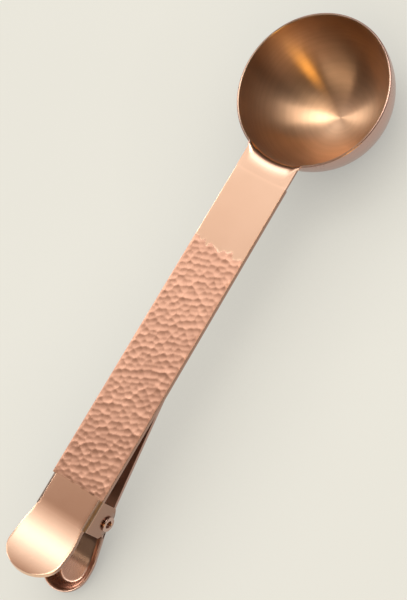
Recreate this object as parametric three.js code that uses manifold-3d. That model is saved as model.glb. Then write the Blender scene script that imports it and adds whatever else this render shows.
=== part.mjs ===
import * as THREE from "three";
import { mergeVertices } from "three/addons/utils/BufferGeometryUtils.js";
import Module from "manifold-3d";

// Coffee scoop with a sprung bag clip under the tail of its handle.
// Millimetres, +Z up. The origin is the middle of the bowl's flat base, and the handle runs along -X.
// Places along the handle are distances from the bowl's axis, counted towards the tail.

// Bowl
const BOWL_RADIUS = 21.5; // outside of the rim
const BOWL_HEIGHT = 21.0; // base to rim, level with the handle's top face
const BOWL_WALL = 0.7;
const BASE_FLAT_RADIUS = 3.2;

// Neck, where the bowl's lip turns out to meet the handle
const LIP_RADIUS = 2.8; // rounding of the top face as it turns down into the bowl
const LIP_REACH = 5.0; // rim to weld seam
const SEAM_GAP = 0.3;

// Handle strip
const HANDLE_THICKNESS = 1.3;
const NECK_WIDTH = 16.4;
const TAIL_WIDTH = 17.4;
const PIN_PLACE = 123.5; // bowl's axis to the hinge pin
const TAIL_CURL_LENGTH = 17.0; // ears to the tip, along the curl
const TAIL_CURL_RADIUS = 34;
const TAIL_ROUND = 6.5; // length of the rounded tip
const TAIL_NOTCH = 0.75; // step in from each ear, where the tail starts
const TAIL_NOTCH_SETBACK = 0.2; // ear to the bottom of the notch
const TAIL_NOTCH_LENGTH = 6.0; // length over which the tail widens again

// Hammered panel on the handle's top face
const PANEL_PLACE = 47.6; // bowl's axis to the first row of dimples
const PANEL_TO_EAR = 0.4;
const PANEL_MARGIN = 0.9; // smooth edge beside the panel
const DIMPLE_LENGTH = 2.7;
const DIMPLE_WIDTH = 3.0;
const RIDGE_HEIGHT = 0.25; // ridges between dimples, above the strip's top face
const DIMPLE_SWAY = 0.2; // irregularity of the rows, in dimple widths
const PANEL_SINK = 0.4; // depth of the panel's root in the strip

// Ears bent down from the handle's sides
const EAR_LENGTH = 8.9;
const EAR_BEND_RADIUS = 1.8;
const EAR_SHOULDER = 2.3; // rise of the ear's lower corners above its lowest point
const EAR_BELOW_PIN = 2.4;
const PIN_DROP = 7.9; // handle's top face to the pin's axis

// Hollow rivet that is the hinge pin
const PIN_RADIUS = 1.5;
const PIN_BORE_RADIUS = 1.0;
const PIN_CLEARANCE = 0.08;
const HEAD_RADIUS = 2.15;
const HEAD_HEIGHT = 0.6;
const HEAD_CLEARANCE = 0.1;
const HEAD_EDGE = 0.25; // rolled edge of the head and of its open end

// Clip arm
const ARM_THICKNESS = 1.0;
const ARM_SIDE_CLEARANCE = 0.2; // arm to the inside of each handle ear
const ARM_BELOW_PIN = 2.6; // pin's axis to the arm's top line
const ARM_EAR_RADIUS = 2.6;
const ARM_EAR_BASE = 8.4;
const ARM_BEND = 1.6; // half length of the bends along the arm
const JAW_REACH = 44; // pin to the jaw's tip
const JAW_PAD = 4.0; // flat of the jaw that meets the handle
const JAW_GAP = 0.25;
const JAW_CORNER = 3.0;
const LEVER_REACH = 22.2; // pin to the lever's tip
const LEVER_LEVEL = 10.2; // level end of the lever
const LEVER_DROP = 8.2; // pin's axis to the lever's rim at its level end
const DISH_WALL = 3.6; // width of the dish's sloping wall, seen from above
const DISH_RAMP = 11; // length over which the dish deepens behind the ears' front

// Torsion spring
const WIRE_RADIUS = 0.45;
const SPRING_CLEARANCE = 0.3; // coil to pin
const SPRING_CURLS = 4; // whole turns, besides the part turn between the legs
const SPRING_PITCH = 1.5;
const LEG_REACH = 10; // pin to the end of each leg
const LEG_GAP = 0.3; // leg to what it bears on

// Fineness of the facets
const BOWL_SIDES = 48;
const SPHERE_RINGS = 10;
const ROUND_SIDES = 32;
const ARC_STEPS = 6;
const DISH_COLUMNS = 16;
const LEVER_STEPS = 26;
const TIP_FLAT = 0.8; // width of the last facet at a rounded tip
const DIMPLE_STEPS = 3;
const WIRE_SIDES = 5;
const CURL_STEPS = 8;
const MERGE = 1e-4;
const OVERLAP = 0.05; // shared depth of parts that are joined

// Worked-out sizes
const SEAM_PLACE = BOWL_RADIUS + LIP_REACH;
const EAR_START = PIN_PLACE - EAR_LENGTH / 2;
const EAR_END = PIN_PLACE + EAR_LENGTH / 2;
const PANEL_END = EAR_START - PANEL_TO_EAR;
const PIN_HEIGHT = BOWL_HEIGHT - PIN_DROP;
const ARM_HALF_WIDTH = TAIL_WIDTH / 2 - HANDLE_THICKNESS - ARM_SIDE_CLEARANCE;
const JAW_TOP = PIN_DROP - HANDLE_THICKNESS - JAW_GAP;
const DISH_DEPTH = PIN_HEIGHT - LEVER_DROP - ARM_THICKNESS; // sets the lever's underside level with the base
const COIL_RADIUS = PIN_RADIUS + SPRING_CLEARANCE + WIRE_RADIUS;

const wasm = await Module();
wasm.setup();

function toSolid(geometry) {
  const bare = geometry.clone();
  bare.deleteAttribute("normal");
  bare.deleteAttribute("uv");
  const merged = mergeVertices(bare, MERGE);
  const vertProperties = new Float32Array(merged.attributes.position.array);
  const triVerts = new Uint32Array(merged.index.array);
  return new wasm.Manifold(new wasm.Mesh({ numProp: 3, vertProperties, triVerts }));
}

function toGeometry(solid) {
  const mesh = solid.getMesh();
  const geometry = new THREE.BufferGeometry();
  geometry.setAttribute("position", new THREE.BufferAttribute(mesh.vertProperties, 3));
  geometry.setIndex(new THREE.BufferAttribute(mesh.triVerts, 1));
  geometry.computeVertexNormals();
  return geometry;
}

function box(x0, x1, y0, y1, z0, z1) {
  const geometry = new THREE.BoxGeometry(x1 - x0, y1 - y0, z1 - z0);
  return toSolid(geometry.translate((x0 + x1) / 2, (y0 + y1) / 2, (z0 + z1) / 2));
}

// A round bar along Y through (x, z)
function crossBar(radius, length, x, z) {
  const geometry = new THREE.CylinderGeometry(radius, radius, length, ROUND_SIDES);
  return toSolid(geometry.translate(x, 0, z));
}

// A plate of an outline drawn in X and Z, from y0 to y1
function uprightPlate(outline, y0, y1) {
  const options = { depth: y1 - y0, bevelEnabled: false, curveSegments: ROUND_SIDES / 2 };
  const geometry = new THREE.ExtrudeGeometry(outline, options);
  return toSolid(geometry.rotateX(Math.PI / 2).translate(0, y1, 0));
}

// A closed sheet between a grid of top points and a grid of bottom points.
// Rows run towards the tail, and columns from +Y to -Y.
function sheet(top, bottom) {
  const rows = top.length;
  const columns = top[0].length;
  const points = [...top.flat(), ...bottom.flat()];
  const upper = (i, j) => i * columns + j;
  const lower = (i, j) => rows * columns + upper(i, j);
  const index = [];
  const quad = (a, b, c, d) => index.push(a, b, c, a, c, d);
  const last = columns - 1;
  for (let i = 0; i < rows - 1; i += 1) {
    for (let j = 0; j < last; j += 1) {
      quad(upper(i, j), upper(i + 1, j), upper(i + 1, j + 1), upper(i, j + 1));
      quad(lower(i, j), lower(i, j + 1), lower(i + 1, j + 1), lower(i + 1, j));
    }
    quad(upper(i, 0), lower(i, 0), lower(i + 1, 0), upper(i + 1, 0));
    quad(upper(i, last), upper(i + 1, last), lower(i + 1, last), lower(i, last));
  }
  for (let j = 0; j < last; j += 1) {
    quad(upper(0, j), upper(0, j + 1), lower(0, j + 1), lower(0, j));
    quad(upper(rows - 1, j), lower(rows - 1, j), lower(rows - 1, j + 1), upper(rows - 1, j + 1));
  }
  const geometry = new THREE.BufferGeometry().setFromPoints(points);
  geometry.setIndex(index);
  return toSolid(geometry);
}

// Points of an arc in a lathe profile, from one angle to the other
function arc(radius, centreX, centreY, from, to, steps) {
  const points = [];
  for (let i = 0; i <= steps; i += 1) {
    const angle = from + ((to - from) * i) / steps;
    points.push(new THREE.Vector2(centreX + radius * Math.cos(angle), centreY + radius * Math.sin(angle)));
  }
  return points;
}

function smoothStep(t) {
  const x = Math.min(1, Math.max(0, t));
  return x * x * (3 - 2 * x);
}

// Bowl: a wall between two spheres of one centre, rounded over at the rim.
// At the neck the rim gives way to a lip.
const SPHERE_CENTRE = (BOWL_RADIUS ** 2 + BOWL_HEIGHT ** 2 - BASE_FLAT_RADIUS ** 2) / (2 * BOWL_HEIGHT);
const OUTER_SPHERE = Math.hypot(BASE_FLAT_RADIUS, SPHERE_CENTRE);
const INNER_SPHERE = OUTER_SPHERE - BOWL_WALL;
const LIP_CENTRE_HEIGHT = BOWL_HEIGHT - LIP_RADIUS;
const LIP_CENTRE_DROP = SPHERE_CENTRE - LIP_CENTRE_HEIGHT;
const LIP_CENTRE_PLACE = Math.sqrt((INNER_SPHERE + LIP_RADIUS) ** 2 - LIP_CENTRE_DROP ** 2);
const LIP_ANGLE = Math.atan2(-LIP_CENTRE_DROP, LIP_CENTRE_PLACE); // where wall and lip meet

// The wall's outside from the base up, and its inside from the lip down
function bowlBelowLip() {
  const flatAngle = Math.atan2(-SPHERE_CENTRE, BASE_FLAT_RADIUS);
  const outside = arc(OUTER_SPHERE, 0, SPHERE_CENTRE, flatAngle, LIP_ANGLE, SPHERE_RINGS);
  const inside = arc(INNER_SPHERE, 0, SPHERE_CENTRE, LIP_ANGLE, -Math.PI / 2, SPHERE_RINGS);
  inside[SPHERE_RINGS].x = 0;
  return { outside: [new THREE.Vector2(0, 0), ...outside], inside };
}

function turned(profile) {
  return toSolid(new THREE.LatheGeometry(profile, BOWL_SIDES).rotateX(Math.PI / 2));
}

function rimmedBowl() {
  const { outside, inside } = bowlBelowLip();
  const rimRadius = BOWL_WALL / 2;
  const rimHeight = BOWL_HEIGHT - rimRadius;
  const middleSphere = INNER_SPHERE + rimRadius;
  const rimPlace = Math.sqrt(middleSphere ** 2 - (SPHERE_CENTRE - rimHeight) ** 2);
  const rim = arc(rimRadius, rimPlace, rimHeight, 0, Math.PI, ARC_STEPS);
  return turned([...outside, ...rim, ...inside]);
}

function lippedBowl() {
  const { outside, inside } = bowlBelowLip();
  const lipEnd = Math.hypot(SEAM_PLACE, NECK_WIDTH);
  const turnEnd = Math.PI + LIP_ANGLE;
  const underRadius = LIP_RADIUS - BOWL_WALL;
  const under = arc(underRadius, LIP_CENTRE_PLACE, LIP_CENTRE_HEIGHT, turnEnd, Math.PI / 2, ARC_STEPS);
  const edge = [new THREE.Vector2(lipEnd, BOWL_HEIGHT - BOWL_WALL), new THREE.Vector2(lipEnd, BOWL_HEIGHT)];
  const over = arc(LIP_RADIUS, LIP_CENTRE_PLACE, LIP_CENTRE_HEIGHT, Math.PI / 2, turnEnd, ARC_STEPS);
  return turned([...outside, ...under.slice(1), ...edge, ...over, ...inside.slice(1)]);
}

// The space behind the bowl in which the lip takes the rim's place, grown by a margin
function neckZone(margin) {
  const half = NECK_WIDTH / 2 + margin;
  return box(-SEAM_PLACE, margin - BOWL_RADIUS / 2, -half, half, -OVERLAP, BOWL_HEIGHT + OVERLAP);
}

function bowl() {
  const rimPart = rimmedBowl().subtract(neckZone(0));
  const lipPart = lippedBowl().intersect(neckZone(OVERLAP));
  return toGeometry(rimPart.add(lipPart));
}

// Handle
function handleHalfWidth(place) {
  const share = Math.min(1, (place - SEAM_PLACE) / (EAR_START - SEAM_PLACE));
  return (NECK_WIDTH + (TAIL_WIDTH - NECK_WIDTH) * share) / 2;
}

// A cross row of the strip: its middle on the top face, the upward normal and the half width
function stripRow(place, height, lean, half) {
  const normal = new THREE.Vector3(Math.sin(lean), 0, Math.cos(lean));
  const point = (y) => new THREE.Vector3(-place, y, height);
  const top = [point(half), point(-half)];
  const bottom = top.map((corner) => corner.clone().addScaledVector(normal, -HANDLE_THICKNESS));
  return { top, bottom };
}

function tailRow(arcPlace, half) {
  const lean = arcPlace / TAIL_CURL_RADIUS;
  const place = EAR_END + TAIL_CURL_RADIUS * Math.sin(lean);
  const height = BOWL_HEIGHT + TAIL_CURL_RADIUS * (1 - Math.cos(lean));
  return stripRow(place, height, lean, half);
}

function strip() {
  const rows = [];
  for (const place of [SEAM_PLACE + SEAM_GAP, EAR_START, EAR_END]) {
    rows.push(stripRow(place, BOWL_HEIGHT, 0, handleHalfWidth(place)));
  }
  const straight = TAIL_CURL_LENGTH - TAIL_ROUND;
  for (let i = 0; i <= ARC_STEPS; i += 1) {
    const run = TAIL_NOTCH_SETBACK + ((straight - TAIL_NOTCH_SETBACK) * i) / ARC_STEPS;
    rows.push(tailRow(run, TAIL_WIDTH / 2 - TAIL_NOTCH * (1 - smoothStep(run / TAIL_NOTCH_LENGTH))));
  }
  const roundSteps = ROUND_SIDES / 4;
  for (let i = 1; i <= roundSteps; i += 1) {
    const angle = (Math.acos(TIP_FLAT / TAIL_WIDTH) * i) / roundSteps;
    rows.push(tailRow(straight + TAIL_ROUND * Math.sin(angle), (TAIL_WIDTH / 2) * Math.cos(angle)));
  }
  return sheet(rows.map((row) => row.top), rows.map((row) => row.bottom));
}

// Hammered dimples in staggered rows, which meet in ridges
function ridgeHeight(row, inRow, across) {
  const stagger = (row % 2) / 2 + DIMPLE_SWAY * Math.sin(row * row);
  const hollow = Math.sin(Math.PI * inRow) * Math.abs(Math.sin(Math.PI * (across / DIMPLE_WIDTH + stagger)));
  return RIDGE_HEIGHT * (1 - Math.sqrt(Math.max(0, hollow)));
}

function hammeredPanel() {
  const length = PANEL_END - PANEL_PLACE;
  const rowCount = Math.max(1, Math.round(length / DIMPLE_LENGTH));
  const columnCount = Math.round((NECK_WIDTH / DIMPLE_WIDTH) * DIMPLE_STEPS);
  const lastStep = rowCount * DIMPLE_STEPS;
  const top = [];
  const bottom = [];
  for (let i = 0; i <= lastStep; i += 1) {
    const row = Math.floor(i / DIMPLE_STEPS);
    const inRow = i / DIMPLE_STEPS - row;
    const place = PANEL_PLACE + (length * i) / lastStep;
    const half = handleHalfWidth(place) - PANEL_MARGIN;
    const topRow = [];
    for (let j = 0; j <= columnCount; j += 1) {
      const y = half * (1 - (2 * j) / columnCount);
      const atEdge = i === 0 || i === lastStep || j === 0 || j === columnCount;
      const rise = atEdge ? 0 : ridgeHeight(row, inRow, y);
      topRow.push(new THREE.Vector3(-place, y, BOWL_HEIGHT + rise));
    }
    top.push(topRow);
    bottom.push(topRow.map((point) => new THREE.Vector3(point.x, point.y, BOWL_HEIGHT - PANEL_SINK)));
  }
  return sheet(top, bottom);
}

function earOutline() {
  const lowest = PIN_HEIGHT - EAR_BELOW_PIN;
  const corner = lowest + EAR_SHOULDER;
  const half = EAR_LENGTH / 2;
  const radius = (half ** 2 + EAR_SHOULDER ** 2) / (2 * EAR_SHOULDER);
  const swing = Math.asin(half / radius);
  const outline = new THREE.Shape();
  outline.moveTo(-EAR_START, BOWL_HEIGHT);
  outline.lineTo(-EAR_END, BOWL_HEIGHT);
  outline.lineTo(-EAR_END, corner);
  outline.absarc(-PIN_PLACE, lowest + radius, radius, -Math.PI / 2 - swing, -Math.PI / 2 + swing, false);
  outline.closePath();
  return outline;
}

// What is cut away to round the bend between the handle's top face and an ear
function bendCut(turn) {
  const inner = TAIL_WIDTH / 2 - EAR_BEND_RADIUS;
  const low = BOWL_HEIGHT - EAR_BEND_RADIUS;
  const outline = new THREE.Shape();
  outline.moveTo(inner, BOWL_HEIGHT);
  outline.absarc(inner, low, EAR_BEND_RADIUS, Math.PI / 2, 0, true);
  outline.lineTo(inner + 2 * EAR_BEND_RADIUS, low);
  outline.lineTo(inner + 2 * EAR_BEND_RADIUS, BOWL_HEIGHT + EAR_BEND_RADIUS);
  outline.lineTo(inner, BOWL_HEIGHT + EAR_BEND_RADIUS);
  outline.closePath();
  const options = { depth: EAR_LENGTH, bevelEnabled: false, curveSegments: ARC_STEPS };
  const geometry = new THREE.ExtrudeGeometry(outline, options).rotateX(Math.PI / 2).rotateZ(Math.PI / 2);
  geometry.translate(-EAR_LENGTH / 2, 0, 0).rotateZ(turn).translate(-PIN_PLACE, 0, 0);
  return toSolid(geometry);
}

function handle() {
  const outer = TAIL_WIDTH / 2;
  const inner = outer - HANDLE_THICKNESS;
  let solid = strip().add(hammeredPanel());
  solid = solid.add(uprightPlate(earOutline(), inner, outer));
  solid = solid.add(uprightPlate(earOutline(), -outer, -inner));
  solid = solid.subtract(bendCut(0)).subtract(bendCut(Math.PI));
  const bore = crossBar(PIN_RADIUS + PIN_CLEARANCE, 2 * TAIL_WIDTH, -PIN_PLACE, PIN_HEIGHT);
  return toGeometry(solid.subtract(bore));
}

// Clip arm, about the pin's axis. Along the arm, the tail side is positive.
const ARM_LINE = [
  new THREE.Vector2(-JAW_REACH, JAW_TOP),
  new THREE.Vector2(-JAW_REACH + JAW_PAD, JAW_TOP),
  new THREE.Vector2(0, -ARM_BELOW_PIN),
  new THREE.Vector2(LEVER_REACH - LEVER_LEVEL, -LEVER_DROP),
  new THREE.Vector2(LEVER_REACH, -LEVER_DROP),
];

function slope(k) {
  return (ARM_LINE[k + 1].y - ARM_LINE[k].y) / (ARM_LINE[k + 1].x - ARM_LINE[k].x);
}

// Height of the arm's top line, with its bends rounded
function armLine(along) {
  let height = ARM_LINE[0].y + slope(0) * (along - ARM_LINE[0].x);
  for (let k = 1; k < ARM_LINE.length - 1; k += 1) {
    const past = along - ARM_LINE[k].x;
    const turn = slope(k) - slope(k - 1);
    const rounded = Math.min(ARM_BEND, Math.max(-ARM_BEND, past)) + ARM_BEND;
    height += turn * (rounded ** 2 / (4 * ARM_BEND) + Math.max(0, past - ARM_BEND));
  }
  return height;
}

function armHalfWidth(along) {
  const fromTip = along + JAW_REACH;
  if (fromTip < JAW_CORNER) {
    return ARM_HALF_WIDTH - JAW_CORNER + Math.sqrt(JAW_CORNER ** 2 - (JAW_CORNER - fromTip) ** 2);
  }
  const pastRound = Math.max(0, along - (LEVER_REACH - ARM_HALF_WIDTH));
  return Math.sqrt(ARM_HALF_WIDTH ** 2 - pastRound ** 2);
}

// Depth of the dish below the arm's top line
function dishDepth(along, y) {
  const ramp = smoothStep((along + EAR_LENGTH / 2) / DISH_RAMP);
  const pastRound = Math.max(0, along - (LEVER_REACH - ARM_HALF_WIDTH));
  const fromEdge = ARM_HALF_WIDTH - Math.hypot(pastRound, y);
  return DISH_DEPTH * ramp * smoothStep(fromEdge / DISH_WALL);
}

function armPlaces() {
  const places = [];
  for (let i = 0; i <= ARC_STEPS; i += 1) {
    places.push(-JAW_REACH + JAW_CORNER * (1 - Math.cos(((Math.PI / 2) * i) / ARC_STEPS)));
  }
  const padEnd = -JAW_REACH + JAW_PAD;
  places.push(padEnd, padEnd + ARM_BEND / 2, padEnd + ARM_BEND, (padEnd - EAR_LENGTH) / 2);
  const leverStart = -EAR_LENGTH / 2;
  const leverEnd = LEVER_REACH - ARM_HALF_WIDTH + Math.sqrt(ARM_HALF_WIDTH ** 2 - (TIP_FLAT / 2) ** 2);
  for (let i = 0; i <= LEVER_STEPS; i += 1) {
    const share = Math.sin(((Math.PI / 2) * i) / LEVER_STEPS); // rows draw together towards the tip
    places.push(leverStart + (leverEnd - leverStart) * share);
  }
  return places;
}

function armSheet() {
  const top = [];
  const bottom = [];
  for (const along of armPlaces()) {
    const half = armHalfWidth(along);
    const row = [];
    for (let j = 0; j <= DISH_COLUMNS; j += 1) {
      const y = half * Math.cos((Math.PI * j) / DISH_COLUMNS);
      row.push(new THREE.Vector3(-along, y, armLine(along) - dishDepth(along, y)));
    }
    top.push(row);
    bottom.push(row.map((point) => new THREE.Vector3(point.x, point.y, point.z - ARM_THICKNESS)));
  }
  return sheet(top, bottom);
}

function armEarOutline() {
  const half = ARM_EAR_BASE / 2;
  const outline = new THREE.Shape();
  outline.moveTo(-half, armLine(half) - ARM_THICKNESS / 2);
  outline.lineTo(half, armLine(-half) - ARM_THICKNESS / 2);
  outline.absarc(0, 0, ARM_EAR_RADIUS, 0, Math.PI, false);
  outline.closePath();
  return outline;
}

function clipArm() {
  const inner = ARM_HALF_WIDTH - ARM_THICKNESS;
  let solid = armSheet();
  solid = solid.add(uprightPlate(armEarOutline(), inner, ARM_HALF_WIDTH));
  solid = solid.add(uprightPlate(armEarOutline(), -ARM_HALF_WIDTH, -inner));
  return toGeometry(solid.subtract(crossBar(PIN_RADIUS + PIN_CLEARANCE, 2 * TAIL_WIDTH, 0, 0)));
}

// Hinge pin: a hollow rivet along Y, with a rolled head outside each ear
function hingePin() {
  const seat = TAIL_WIDTH / 2 + HEAD_CLEARANCE;
  const end = seat + HEAD_HEIGHT;
  const half = [
    [PIN_RADIUS, seat],
    [HEAD_RADIUS, seat],
    [HEAD_RADIUS, end - HEAD_EDGE],
    [HEAD_RADIUS - HEAD_EDGE, end],
    [PIN_BORE_RADIUS + HEAD_EDGE, end],
    [PIN_BORE_RADIUS, end - HEAD_EDGE],
  ];
  const upper = half.map(([radius, y]) => new THREE.Vector2(radius, y));
  const lower = upper.map((point) => new THREE.Vector2(point.x, -point.y)).reverse();
  const profile = [...upper, ...lower, upper[0].clone()];
  return toGeometry(toSolid(new THREE.LatheGeometry(profile, ROUND_SIDES)));
}

// Torsion spring about the pin: a leg under the tail, a coil, and a leg on the lever's floor
class SpringPath extends THREE.Curve {
  constructor() {
    super();
    const lean = (LEG_REACH - EAR_LENGTH / 2) / TAIL_CURL_RADIUS;
    const tailRise = TAIL_CURL_RADIUS * (1 - Math.cos(lean));
    const upperHeight = PIN_DROP + tailRise - HANDLE_THICKNESS / Math.cos(lean) - LEG_GAP - WIRE_RADIUS;
    const floor = armLine(LEG_REACH) - dishDepth(LEG_REACH, 0);
    this.upper = new THREE.Vector2(LEG_REACH, upperHeight);
    this.lower = new THREE.Vector2(LEG_REACH, floor + LEG_GAP + WIRE_RADIUS);
    const touch = (end) => Math.acos(COIL_RADIUS / end.length());
    this.from = this.upper.angle() + touch(this.upper);
    this.to = this.lower.angle() - touch(this.lower) + 2 * Math.PI * (SPRING_CURLS - 1);
    if (this.to - this.from < 2 * Math.PI * (SPRING_CURLS - 0.5)) {
      this.to += 2 * Math.PI;
    }
    this.turns = (this.to - this.from) / (2 * Math.PI);
    this.upperLeg = Math.sqrt(this.upper.lengthSq() - COIL_RADIUS ** 2);
    this.lowerLeg = Math.sqrt(this.lower.lengthSq() - COIL_RADIUS ** 2);
    this.coil = COIL_RADIUS * (this.to - this.from);
    this.length = this.upperLeg + this.coil + this.lowerLeg;
  }

  coilPoint(angle) {
    const across = SPRING_PITCH * ((angle - this.from) / (2 * Math.PI) - this.turns / 2);
    return new THREE.Vector3(-COIL_RADIUS * Math.cos(angle), across, COIL_RADIUS * Math.sin(angle));
  }

  getPoint(t) {
    const run = t * this.length;
    const first = this.coilPoint(this.from);
    const last = this.coilPoint(this.to);
    if (run < this.upperLeg) {
      const end = new THREE.Vector3(-this.upper.x, first.y, this.upper.y);
      return end.lerp(first, run / this.upperLeg);
    }
    if (run < this.upperLeg + this.coil) {
      return this.coilPoint(this.from + (run - this.upperLeg) / COIL_RADIUS);
    }
    const end = new THREE.Vector3(-this.lower.x, last.y, this.lower.y);
    return last.lerp(end, (run - this.upperLeg - this.coil) / this.lowerLeg);
  }
}

// Least distance between the wire's surface and itself, at points more than half a curl apart
function leastGap(points, apart) {
  let least = Infinity;
  for (let i = 0; i < points.length; i += 1) {
    for (let j = i + apart; j < points.length; j += 1) {
      least = Math.min(least, points[i].distanceTo(points[j]));
    }
  }
  return least - 2 * WIRE_RADIUS;
}

function torsionSpring() {
  const path = new SpringPath();
  const steps = Math.round((path.length / path.coil) * path.turns * CURL_STEPS);
  const section = new THREE.Shape();
  section.absarc(0, 0, WIRE_RADIUS, 0, 2 * Math.PI, false);
  const wire = new THREE.Shape(section.getSpacedPoints(WIRE_SIDES).slice(0, WIRE_SIDES));
  const gap = leastGap(path.getSpacedPoints(steps), CURL_STEPS / 2);
  console.log("spring: least gap to itself", gap.toFixed(2), "mm");
  return new THREE.ExtrudeGeometry(wire, { steps, extrudePath: path, bevelEnabled: false });
}

// Materials
function brushedCopper() {
  return new THREE.MeshStandardMaterial({ color: 0xc98f6f, roughness: 0.28, metalness: 1 });
}

function hammeredCopper() {
  return new THREE.MeshStandardMaterial({ color: 0xdba585, roughness: 0.32, metalness: 1 });
}

function satinCopper() {
  return new THREE.MeshStandardMaterial({ color: 0xb98268, roughness: 0.3, metalness: 1 });
}

function rivetCopper() {
  return new THREE.MeshStandardMaterial({ color: 0xa98374, roughness: 0.35, metalness: 1 });
}

function springSteel() {
  return new THREE.MeshStandardMaterial({ color: 0x8c8a88, roughness: 0.4, metalness: 1 });
}

function piece(name, geometry, material) {
  const mesh = new THREE.Mesh(geometry, material);
  mesh.name = name;
  return mesh;
}

const scoop = new THREE.Group();
scoop.add(piece("bowl", bowl(), brushedCopper()));
scoop.add(piece("handle", handle(), hammeredCopper()));

const clip = new THREE.Group();
clip.position.set(-PIN_PLACE, 0, PIN_HEIGHT);
clip.add(piece("clip_arm", clipArm(), satinCopper()));
clip.add(piece("hinge_pin", hingePin(), rivetCopper()));
clip.add(piece("torsion_spring", torsionSpring(), springSteel()));
scoop.add(clip);

export default scoop;
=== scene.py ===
import math

import bmesh
import bpy
import numpy as np
from mathutils import Matrix, Vector


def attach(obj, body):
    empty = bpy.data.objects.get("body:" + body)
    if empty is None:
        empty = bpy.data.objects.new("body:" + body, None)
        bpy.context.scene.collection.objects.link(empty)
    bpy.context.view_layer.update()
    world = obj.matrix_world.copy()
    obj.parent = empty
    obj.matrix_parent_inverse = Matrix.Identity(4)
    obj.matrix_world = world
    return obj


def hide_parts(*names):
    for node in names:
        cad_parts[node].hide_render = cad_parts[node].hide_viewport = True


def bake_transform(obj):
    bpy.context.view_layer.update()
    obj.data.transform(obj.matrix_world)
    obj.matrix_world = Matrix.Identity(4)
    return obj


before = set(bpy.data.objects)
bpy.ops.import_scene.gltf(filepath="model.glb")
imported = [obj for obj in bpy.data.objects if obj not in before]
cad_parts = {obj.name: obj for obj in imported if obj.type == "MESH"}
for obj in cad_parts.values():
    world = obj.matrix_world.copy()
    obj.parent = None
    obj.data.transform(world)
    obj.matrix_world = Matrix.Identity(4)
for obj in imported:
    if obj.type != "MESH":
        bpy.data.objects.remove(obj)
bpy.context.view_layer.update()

# Looks of a copper-coloured coffee scoop with a bag clip. Sizes are in millimetres, as in the part's
# source, and are turned into metres when a mesh is made. The handle runs along -X from the bowl's axis.
MM = 0.001

# Bowl and neck
BOWL_RADIUS = 21.5
BOWL_HEIGHT = 21.0
BOWL_WALL = 0.7
BASE_FLAT_RADIUS = 3.2
LIP_REACH = 5.0
SEAM_GAP = 0.3
NECK_HALF = 8.2
LIP_TURN = (2.0, 1.1)  # radius of the lip's tight turn, in the middle of the neck and at its corners
LIP_DIP = (3.2, 0.45)  # length of the gentle dip before it, likewise
LIP_FADE = 2.2  # from the neck's side, over which the corner's turn and dip become the middle's
DIP_TILT = math.radians(11)  # how far the dip tilts before the tight turn
CORNER_ROUND = 1.2  # the neck's sides run into the rim with this radius
COMMON_ANGLE = -0.28  # below this, the wall is the same all round
SEAM = BOWL_RADIUS + LIP_REACH
SEAM_PLACE = SEAM + SEAM_GAP / 2  # the visible pieces meet in the middle of the solids' gap
SPHERE_CENTRE = (BOWL_RADIUS ** 2 + BOWL_HEIGHT ** 2 - BASE_FLAT_RADIUS ** 2) / (2 * BOWL_HEIGHT)
SPHERE_MIDDLE = (0, SPHERE_CENTRE)  # as (radius, height)
OUTER_SPHERE = math.hypot(BASE_FLAT_RADIUS, SPHERE_CENTRE)
INNER_SPHERE = OUTER_SPHERE - BOWL_WALL

# Handle
HANDLE_THICKNESS = 1.3
TAIL_WIDTH = 17.4
PIN_PLACE = 123.5
PIN_DROP = 7.9
EAR_LENGTH = 8.9
EAR_BEND_RADIUS = 1.5
EAR_SHOULDER = 2.3
EAR_BELOW_PIN = 2.4
EAR_CHAMFER = 0.15
TAIL_CURL_LENGTH = 17.0
TAIL_CURL_RADIUS = 34.0
TAIL_ROUND = 6.5
TAIL_LEAD = 2.0  # the visible curl starts this far before the ears' end, and bends less
TAIL_RISE_SHARE = 0.999  # of the solid tail's rise, so that the visible one stays in its box
TAIL_NOTCH = 0.75  # the tail starts this much narrower on each side, next to the ears' bends
TAIL_NOTCH_LENGTH = 6.0
TIP_FLAT = 0.4  # half the width at which a round end stops
EDGE_ROUND = 0.12
EAR_START = PIN_PLACE - EAR_LENGTH / 2
EAR_END = PIN_PLACE + EAR_LENGTH / 2
PIN_HEIGHT = BOWL_HEIGHT - PIN_DROP

# Hammered panel
PANEL_PLACE = 47.6
PANEL_TO_EAR = 0.4
PANEL_MARGIN = 0.7  # over which the dimples fade out at the panel's sides
PANEL_END = EAR_START - PANEL_TO_EAR
DIMPLE_SEED = 7
DIMPLE_LENGTH = 1.56
DIMPLE_WIDTH = 2.2
DIMPLE_ROW_TILT = math.radians(-22)  # of the rows, away from straight across
DIMPLE_BEND = 0.066  # height gained per square millimetre away from a dimple's middle
DIMPLE_BEND_RANGE = (0.8, 1.25)  # a dimple's bend as a share of that
DIMPLE_ASPECT = 0.75  # a distance across counts as this much of it, so dimples are longer across
DIMPLE_RIDGE = 0.22  # the highest that a ridge gets
DIMPLE_FLOOR = 0.03  # dimples' floors differ by up to this
DIMPLE_SHIFT = 0.34  # a dimple's middle is off its place by up to this share of the spacing
SPARE_DIMPLES = 6  # rows beyond each end of the panel
WANDER_COUNT = 40
START_WANDER = (0.9, 0.9, 1.6)  # of the panel's edge: places per millimetre across, how far, and its fade
END_WANDER = (1.1, 0.7, 0.5)
END_OVERRUN = 0.2

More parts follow.
